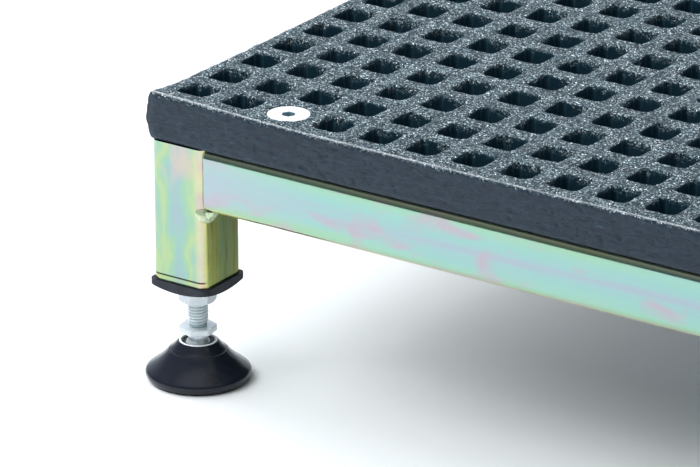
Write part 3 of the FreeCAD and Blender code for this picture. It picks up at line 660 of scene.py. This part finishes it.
def build_closed_edge(flat, top, edges):
    """The outer rim of the top face carried over the edge and down."""
    ids = np.unique(edges)
    rim = flat[ids]
    nx = np.where(on_border(rim[:, 0], LENGTH), np.sign(rim[:, 0]), 0.0)
    ny = np.where(on_border(rim[:, 1], WIDTH), np.sign(rim[:, 1]), 0.0)
    scale = np.where((nx != 0) & (ny != 0), CORNER_REACH, 1.0)
    rows, verts, grit, glint_rows = [], [], [], []
    for k, (out, up) in enumerate(edge_profile()):
        base = np.column_stack([rim, np.full(len(rim), TOP + up)])
        reach = (out + EDGE_ROUND) * scale
        base[:, 0] += reach * nx
        base[:, 1] += reach * ny
        side = min(1.0, k / 3)
        streaked = base * np.array([0.22, 0.22, 1.0])
        uneven = noise(streaked, 1.6, 31) * 0.06 + noise(base, 9, 32) * 0.13 + noise(base, 40, 33) * 0.18
        pits = np.clip(noise(base, 2.1, 35) - 0.60, 0, 1) * 1.5
        grain = noise(base, 1.0, 36) * 0.07 * max(0.0, 1 - abs(up + 0.4) / 1.4)
        push = side * (uneven - pits) + grain
        lift = grit_height(base) * (1 - side)
        base[:, 0] += push * nx * scale
        base[:, 1] += push * ny * scale
        base[:, 2] += lift + grain
        if k == 0:
            base = top[ids].copy()
        row = np.full(len(flat), -1)
        row[ids] = k * len(ids) + np.arange(len(ids))
        rows.append(row)
        verts.append(base)
        grit.append(np.clip(1.35 + up / 1.1 + 0.5 * noise(base, 1.2, 37), 0, 1))
        # the first rows of the edge carry the painted highlight of the rounded top edge
        crest = CREST_GLINT[k] if k < len(CREST_GLINT) else 0.0
        glint_rows.append(np.clip(crest * (0.9 + 0.6 * noise(base, 7, 43)), 0, 1))
    mesh_object("deck_edge", warp(np.concatenate(verts)), curtain(edges, rows), "platform", "grp_deck", DECK,
                floats={"grit": np.concatenate(grit), "edge": np.concatenate(glint_rows),
                        "face": np.ones(sum(map(len, verts)))})


def build_deck():
    cell_steps, bar_steps = 18, 10
    flat, quads = plate(np.arange(cell_steps) / cell_steps, bar_steps, EDGE_ROUND)
    top = gritted_top(flat)
    edges = rim_edges(quads)
    start, end = flat[edges[:, 0]], flat[edges[:, 1]]
    level = np.abs(start - end) < TINY
    outer = on_border(start[:, 0], LENGTH) & level[:, 0] | on_border(start[:, 1], WIDTH) & level[:, 1]
    build_strips(flat, quads, top, edges[~outer])
    build_underside()
    build_closed_edge(flat, top, edges[outer])


build_deck()


# ---------------------------------------------------------------- levelling feet
ROD_R, ROOT_R, THREAD_PITCH = 4.98, 4.15, 1.5
RUN_OUT = 4.0                      # mm of thread over which its ridge grows
ACROSS_FLATS, CORNER_CUT = 16.0, 0.25
HEX_TURN = 10.6                    # degrees that the photo shows the hexagons turned
HEX_LOW, HEX_HIGH = 23.55, 26.55   # the stud's own hexagon
NECK_R, SHANK_R = 4.7, 5.3         # the stud's neck, and where it widens under the hexagon
NUT_BORE = 5.05
BALL_Z, SOCKET_R = 15.6, 7.65      # the middle of the ball, and the socket round it


def thread(centre, low, high, segments=48):
    """A right-hand screw thread between two heights, closed at the top."""
    shape = ((0.0, ROOT_R), (0.42, ROD_R), (0.55, ROD_R), (0.97, ROOT_R))
    turns = int((high - low) / THREAD_PITCH) + 2
    rows = turns * len(shape)
    angles = np.arange(segments) / segments
    k = np.arange(rows)
    along = np.array([shape[m % len(shape)][0] + m // len(shape) for m in k])
    radius = np.array([shape[m % len(shape)][1] for m in k])
    z = low + (along[:, None] - 1 + angles[None, :]) * THREAD_PITCH
    r = np.repeat(radius[:, None], segments, axis=1)
    fade = np.clip((z - low) / RUN_OUT, 0.15, 1)
    r = ROOT_R + (r - ROOT_R) * fade
    chamfer = ROD_R - ROOT_R + 0.3
    tip = np.clip((high - z) / chamfer, 0, 1)
    r = np.minimum(r, ROOT_R - 0.3 + chamfer * tip)
    z = np.clip(z, low, high)
    phi = angles * 2 * math.pi
    verts = np.stack([centre[0] + r * np.cos(phi), centre[1] + r * np.sin(phi), z], axis=2).reshape(-1, 3)
    faces = []
    for m in range(rows - 1):
        for i in range(segments - 1):
            a = m * segments + i
            faces.append((a, a + 1, a + 1 + segments, a + segments))
    for m in range(rows - 1 - len(shape)):
        a, b = m * segments + segments - 1, (m + len(shape)) * segments
        faces.append((a, b, b + segments, a + segments))
    return verts, np.array(faces)


def joined(parts):
    """Several (vertices, quads) as one."""
    verts, faces, start = [], [], 0
    for v, f in parts:
        verts.append(v)
        faces.append(np.asarray(f) + start)
        start += len(v)
    return np.concatenate(verts), np.concatenate(faces)


def hexagon(centre, low, high, hole, drop=None):
    """A hexagon with a round hole. Its edges are lowered by drop, or by a 30 degree turned chamfer."""
    per_side = 12
    angles = np.arange(6 * per_side) / (6 * per_side) * 2 * math.pi
    local = (angles + math.pi / 6) % (math.pi / 3) - math.pi / 6
    side = np.minimum(ACROSS_FLATS / 2 / np.cos(local), ACROSS_FLATS / math.sqrt(3) - CORNER_CUT)
    face = ACROSS_FLATS / 2 * 0.96
    if drop is None:
        drop = np.maximum(side - face, 0) * math.tan(math.radians(30))
    phi = angles + math.radians(HEX_TURN)
    half = ((hole, 0.0), (face - 0.3, 0.0), (np.minimum(side - 0.12, face), 0.02), (side - 0.03, drop + 0.06),
            (side, drop + 0.2))
    profile = [(radius, high - fall) for radius, fall in half]
    profile += [(radius, low + fall) for radius, fall in reversed(half)]
    rows = [np.column_stack([centre[0] + radius * np.cos(phi), centre[1] + radius * np.sin(phi), z + 0 * phi])
            for radius, z in profile]
    n = len(angles)
    i, j = np.meshgrid(np.arange(len(rows) - 1), np.arange(n), indexing="ij")
    a, b = i * n + j, i * n + (j + 1) % n
    return np.concatenate(rows), np.stack([a, a + n, b + n, b], axis=2).reshape(-1, 4)


def build_stud(corner, centre, top):
    """The threaded rod with its flat tip, and the hexagon on its short shank."""
    tip = lathe([(0.01, top), (3.85, top)], centre, 48)
    verts, faces = joined([thread(centre, HEX_HIGH, top), tip])
    # how deep each point sits in the thread, which sets the painted shade in the valleys
    valley_shade = (ROD_R - np.hypot(*(verts[:, :2] - centre).T)) / (ROD_R - ROOT_R)
    mesh_object("stud_rod_" + corner, verts, faces, "stud_" + corner, "zinc_bright", ZINC_THREAD,
                replaces=["stud_" + corner], floats={"valley_shade": np.clip(valley_shade, 0, 1)})
    collar = hexagon(centre, HEX_LOW, HEX_HIGH, 3.9, drop=0.15)
    outline = [(NECK_R, BALL_Z + 4.3), (NECK_R, HEX_LOW - 0.7), (SHANK_R, HEX_LOW + 0.02)]
    shank = lathe(rounded_path(outline, 0.6), centre, 48)
    mesh_object("stud_collar_" + corner, *joined([collar, shank]), "stud_" + corner, "zinc_bright",
                ZINC_BRIGHT, smooth=False)


def build_lock_nut(corner, centre, low, high):
    bore = lathe([(NUT_BORE, low), (NUT_BORE, high)], centre, 72)
    nut = hexagon(centre, low, high, NUT_BORE)
    mesh_object("lock_nut_body_" + corner, *joined([nut, bore]), "lock_nut_" + corner, "zinc_bright",
                ZINC_BRIGHT, smooth=False, replaces=["lock_nut_" + corner])


def build_foot_base(corner, centre):
    """The moulded foot: rim, slightly hollow cone, collar on top, socket, and the face over the pad."""
    cone = [(24.95 - 11.1 * t - 0.9 * math.sin(math.pi * t), 4.8 + 9.9 * t) for t in np.linspace(0, 1, 9)]
    outside = [(23.1, 1.0), (24.2, 1.0, 0.3), (25.0, 2.8, 0.9), (25.0, 4.6, 1.0)] + cone[1:-1]
    outside += [(13.75, 14.75, 0.15), (13.3, 14.8, 0.1), (13.3, 15.05, 0.1)]
    outside += [(11.9, 16.2), (10.2, 18.1), (9.3, 19.0, 0.3), (8.9, 19.1, 0.1), (8.5, 18.8, 0.1),
                (7.25, 18.2, 0.2)]
    inner = [(SOCKET_R * math.cos(math.radians(a)), BALL_Z + SOCKET_R * math.sin(math.radians(a)))
             for a in range(18, -41, -6)]
    base = lathe(rounded_path(outside + inner + [(0.01, BALL_Z - 6.5)], 0.6), centre)
    over_pad = lathe([(0.01, 2.45), (23.1, 2.45), (23.1, 1.0)], centre)
    mesh_object("foot_shell_" + corner, *joined([base, over_pad]), "foot_" + corner, "foot_plastic", FOOT,
                replaces=["foot_base_" + corner])


def build_socket_rim(corner, centre):
    """The pale rim round the mouth of the socket."""
    rim = [(8.05, 18.0), (8.05, 19.35, 0.2), (8.9, 19.4, 0.3), (9.15, 18.9, 0.2), (8.6, 18.3)]
    mesh_object("socket_rim_" + corner, *lathe(rounded_path(rim, 0.2), centre), "foot_" + corner,
                "zinc_bright", ZINC_THREAD)


def build_sole(corner, centre):
    """The rubber pad, with rings on its underside."""
    rings = [(0.01, 0.5)]
    for r in np.arange(3.0, 21.0, 3.0):
        rings += [(r, 0.5), (r + 0.2, 0.0), (r + 1.6, 0.0), (r + 1.8, 0.5)]
    rings += [(21.2, 0.5), (21.4, 0.0), (22.9, 0.0, 0.2), (23.0, 1.2, 0.2), (23.0, 2.4, 0.1), (0.01, 2.4)]
    mesh_object("foot_sole_" + corner, *lathe(rounded_path(rings, 0.1, 3), centre, 96), "foot_" + corner,
                "pad_rubber", RUBBER, replaces=["foot_pad_" + corner])


def build_foot(corner):
    pad_low, pad_high = (np.array(v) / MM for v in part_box("foot_pad_" + corner))
    stud_high = np.array(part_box("stud_" + corner)[1]) / MM
    nut_low, nut_high = (np.array(v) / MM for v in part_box("lock_nut_" + corner))
    centre = (pad_low + pad_high)[:2] / 2
    build_stud(corner, centre, stud_high[2])
    build_lock_nut(corner, centre, nut_low[2], nut_high[2])
    build_foot_base(corner, centre)
    build_socket_rim(corner, centre)
    build_sole(corner, centre)


for name in CORNERS:
    build_foot(name)


# ---------------------------------------------------------------- weld beads
def bead(start, along, first, second, length, seed):
    """A rippled weld bead lying in the corner between two faces."""
    start, along, first, second = (np.array(v, float) for v in (start, along, first, second))
    places = np.linspace(0, length, max(12, int(length * 3)))
    angles = np.radians([-6, 10, 28, 45, 62, 80, 96])
    ids = np.arange(len(places), dtype=float)
    uneven = hashed(ids, ids * 0, ids * 0, seed=seed) - 0.5
    ripple = 0.16 * np.abs(np.sin(places * math.pi / 2.1)) + 0.10 * uneven
    ends = np.clip(np.minimum(places, length - places) / 1.6, 0.02, 1) ** 0.5
    size = (3.0 + 2.6 * np.exp(-np.minimum(places, length - places) / 4.5)) * (0.90 + ripple) * ends
    rows = []
    for place, reach in zip(places, size):
        bow = 0.78 + 0.16 * np.abs(np.cos(2 * angles))
        out = reach * bow[:, None] * (np.cos(angles)[:, None] * first + np.sin(angles)[:, None] * second)
        rows.append(start + along * place + out)
    n = len(angles)
    i, j = np.meshgrid(np.arange(len(places) - 1), np.arange(n - 1), indexing="ij")
    a = i * n + j
    quads = np.stack([a, a + n, a + n + 1, a + 1], axis=2).reshape(-1, 4)
    if np.dot(np.cross(along, first), second) < 0:
        quads = quads[:, ::-1]
    return np.concatenate(rows), quads


TUBE_CORNER = 4.0                  # outer corner radius of the square tube
LIP_FRONT, LIP_SIDE = 0.6, 10.0    # how far a lip reaches along the leg's two faces
LIP_SECTION = ((0.20, 0.3), (0.08, 1.0), (-0.40, 1.5), (-0.80, 1.5), (-0.98, 0.9), (-1.05, -0.1))
BEAD_HALF = 14.2                   # half the length of the bead under a rail's end


def lip(corner, out_x, out_y, low):
    """A lip of weld metal that droops round a leg's corner under a rail's end. out_x is along the rail."""
    axis = np.array(corner) - TUBE_CORNER * np.array([out_x, out_y])
    places, normals = [], []
    for step in np.linspace(-LIP_FRONT, 0, 4)[:-1]:
        places.append(axis + (out_x * step, out_y * TUBE_CORNER))
        normals.append((0, out_y))
    for turn in np.linspace(0, math.pi / 2, 9):
        normals.append((out_x * math.sin(turn), out_y * math.cos(turn)))
        places.append(axis + TUBE_CORNER * np.array(normals[-1]))
    for step in np.linspace(0, LIP_SIDE, 12)[1:]:
        places.append(axis + (out_x * TUBE_CORNER, -out_y * step))
        normals.append((out_x, 0))
    places, normals = np.array(places), np.array(normals)
    share = np.linspace(0, 1, len(places))
    swell = np.sin(share * math.pi) ** 0.5
    droop = 0.5 + 5.4 * np.sin(share * math.pi) ** 0.7
    rows = []
    for fall, thick in LIP_SECTION:
        xy = places + normals * (thick * swell)[:, None]
        rows.append(np.column_stack([xy, low + fall * droop]))
    n = len(places)
    i, j = np.meshgrid(np.arange(len(LIP_SECTION) - 1), np.arange(n - 1), indexing="ij")
    a = i * n + j
    quads = np.stack([a, a + 1, a + n + 1, a + n], axis=2).reshape(-1, 4)
    return np.concatenate(rows), quads if out_x * out_y < 0 else quads[:, ::-1]


def build_welds():
    """For each leg: a bead and a lip under both rails' ends, and an upright bead between the rails."""
    low = RAIL_MIDDLE - HALF_TUBE
    parts = []
    for k, (sx, sy) in enumerate(((-1, -1), (1, -1), (-1, 1), (1, 1))):
        x, y = sx * LEG_CENTRE[0], sy * LEG_CENTRE[1]
        inner_x, inner_y = x - sx * HALF_TUBE, y - sy * HALF_TUBE
        start = (inner_x, y - BEAD_HALF, low)
        parts.append(bead(start, (0, 1, 0), (-sx, 0, 0), (0, 0, -1), 2 * BEAD_HALF, 3 * k))
        start = (x - BEAD_HALF, inner_y, low)
        parts.append(bead(start, (1, 0, 0), (0, -sy, 0), (0, 0, -1), 2 * BEAD_HALF, 3 * k + 1))
        parts.append(lip((inner_x, y + sy * HALF_TUBE), -sx, sy, low))
        flipped, quads = lip((inner_y, x + sx * HALF_TUBE), -sy, sx, low)
        parts.append((flipped[:, [1, 0, 2]], quads[:, ::-1]))
        start = (inner_x, inner_y, low + 3.5)
        parts.append(bead(start, (0, 0, 1), (-sx, 0, 0), (0, -sy, 0), 2 * HALF_TUBE - 7, 3 * k + 2))
    mesh_object("weld_ripples", *joined(parts), "platform", "zinc_yellow", ZINC_WELD, replaces=["weld_beads"])


build_welds()


# ---------------------------------------------------------------- CAD pieces that keep their shape
NODE_MATERIALS = (         # the first that a node's name starts with is used
    ("leg_", ZINC_LEG), ("rail_left", ZINC_SHORT), ("rail_right", ZINC_SHORT), ("rail_", ZINC_LONG),
    ("weld_beads", ZINC_LONG), ("tube_insert", INSERT), ("ball_ring", RING_STEEL),
    ("deck_screws", ZINC_SCREW), ("foot_base", FOOT), ("foot_pad", RUBBER), ("deck_panel", DECK),
    ("", ZINC_BRIGHT))

for node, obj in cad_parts.items():
    chosen = [material for start, material in NODE_MATERIALS if node.startswith(start)]
    obj.data.materials.clear()
    obj.data.materials.append(chosen[0])


# ---------------------------------------------------------------- floor, light and camera
def stage_floor():
    mesh = bpy.data.meshes.new("floor")
    reach = 6.0
    corners = [(-reach, -reach, 0), (reach, -reach, 0), (reach, reach, 0), (-reach, reach, 0)]
    mesh.from_pydata(corners, [], [(0, 1, 2, 3)])
    floor = bpy.data.objects.new("floor", mesh)
    bpy.context.scene.collection.objects.link(floor)
    s = Shader("floor_white")
    s.set(Base_Color=(0.895, 0.92, 0.945, 1), Roughness=0.6)
    mesh.materials.append(s.material)


LIGHTS = (("key", (-1.25, -1.35, 2.1), (1.1, 1.1), 30), ("side", (-2.2, 0.0, 1.5), (2.0, 1.8), 44),
          ("front", (-0.3, -1.9, 1.85), (1.2, 0.8), 16), ("top", (-0.3, 0.0, 2.4), (1.2, 1.2), 8))
LIGHT_TARGET = (-0.2, -0.15, 0.08)


def area_light(name, location, size, power):
    """A soft light in metres and watts, aimed at the front left of the riser and unseen in reflections."""
    data = bpy.data.lights.new(name, "AREA")
    data.shape = "RECTANGLE"
    data.size, data.size_y = size
    data.energy = power
    obj = bpy.data.objects.new(name, data)
    bpy.context.scene.collection.objects.link(obj)
    obj.location = location
    obj.rotation_mode = "QUATERNION"
    obj.visible_glossy = False
    obj.rotation_quaternion = (Vector(LIGHT_TARGET) - Vector(location)).to_track_quat("-Z", "Y")


SKY_FRONT = ((0.001, (0.10, 0.11, 0.12)), (0.30, (0.10, 0.11, 0.12)), (0.50, (0.17, 0.20, 0.21)),
             (0.86, (0.26, 0.31, 0.32)), (0.97, (1.0, 1.04, 1.08)))
SKY_REAR = ((0.001, (0.69, 0.80, 0.91)), (0.999, (0.93, 0.98, 1.02)))


def sky_ramp(nodes, stops):
    made = nodes.new("ShaderNodeValToRGB")
    elements = made.color_ramp.elements
    first = [elements[0], elements[1]]
    rest = [elements.new(0.5) for _ in stops[2:]]
    for element, (place, color) in zip(first + rest, stops):
        element.position = place
        element.color = (*color, 1)
    return made


def light_stage():
    """A sky that is pale behind the object and darker in front of it, and the lights."""
    world = bpy.data.worlds.new("studio")
    bpy.context.scene.world = world
    world.use_nodes = True
    nodes, links = world.node_tree.nodes, world.node_tree.links
    axes = nodes.new("ShaderNodeSeparateXYZ")
    links.new(nodes.new("ShaderNodeTexCoord").outputs["Generated"], axes.inputs[0])
    mixed = nodes.new("ShaderNodeMix")
    mixed.data_type = "RGBA"
    rearward = nodes.new("ShaderNodeMapRange")
    rearward.inputs["From Min"].default_value = 0.0
    rearward.inputs["From Max"].default_value = 0.5
    links.new(axes.outputs[1], rearward.inputs["Value"])
    links.new(rearward.outputs[0], mixed.inputs[0])
    for socket, stops in ((6, SKY_FRONT), (7, SKY_REAR)):
        sky = sky_ramp(nodes, stops)
        links.new(axes.outputs[2], sky.inputs[0])
        links.new(sky.outputs[0], mixed.inputs[socket])
    links.new(mixed.outputs[2], nodes["Background"].inputs[0])
    nodes["Background"].inputs[1].default_value = 1.0
    for light in LIGHTS:
        area_light(*light)


CAMERA_AZIMUTH, CAMERA_ELEVATION, CAMERA_ROLL = 34.597, 21.844, 0.126     # degrees
CAMERA_DEPTH = 2.7199        # metres from the deck's front left corner, along the view
CORNER_LEFT, CORNER_UP = 0.09224, 0.06310      # how far that corner is off the view's centre, in metres
LENS_MM, SENSOR_MM = 303.86, 36


def place_camera():
    """A long lens, placed from the deck's front left corner."""
    azimuth, elevation, roll = (math.radians(a) for a in (CAMERA_AZIMUTH, CAMERA_ELEVATION, CAMERA_ROLL))
    corner = Vector((DECK_LOW[0], DECK_LOW[1], DECK_HIGH[2])) * MM
    forward = Vector((-math.sin(azimuth) * math.cos(elevation), math.cos(azimuth) * math.cos(elevation),
                      -math.sin(elevation)))
    right = forward.cross(Vector((0, 0, 1))).normalized()
    down = forward.cross(right)
    right, down = (right * math.cos(roll) + down * math.sin(roll),
                   down * math.cos(roll) - right * math.sin(roll))
    location = corner - forward * CAMERA_DEPTH + right * CORNER_LEFT + down * CORNER_UP
    data = bpy.data.cameras.new("camera")
    data.sensor_width = SENSOR_MM
    data.lens = LENS_MM
    data.clip_start, data.clip_end = 0.1, 50
    camera = bpy.data.objects.new("camera", data)
    bpy.context.scene.collection.objects.link(camera)
    turn = Matrix((right, -down, -forward)).transposed()
    camera.matrix_world = Matrix.Translation(location) @ turn.to_4x4()
    bpy.context.scene.camera = camera


stage_floor()
light_stage()
place_camera()
bpy.context.scene.view_settings.view_transform = "Standard"

bpy.context.view_layer.update()
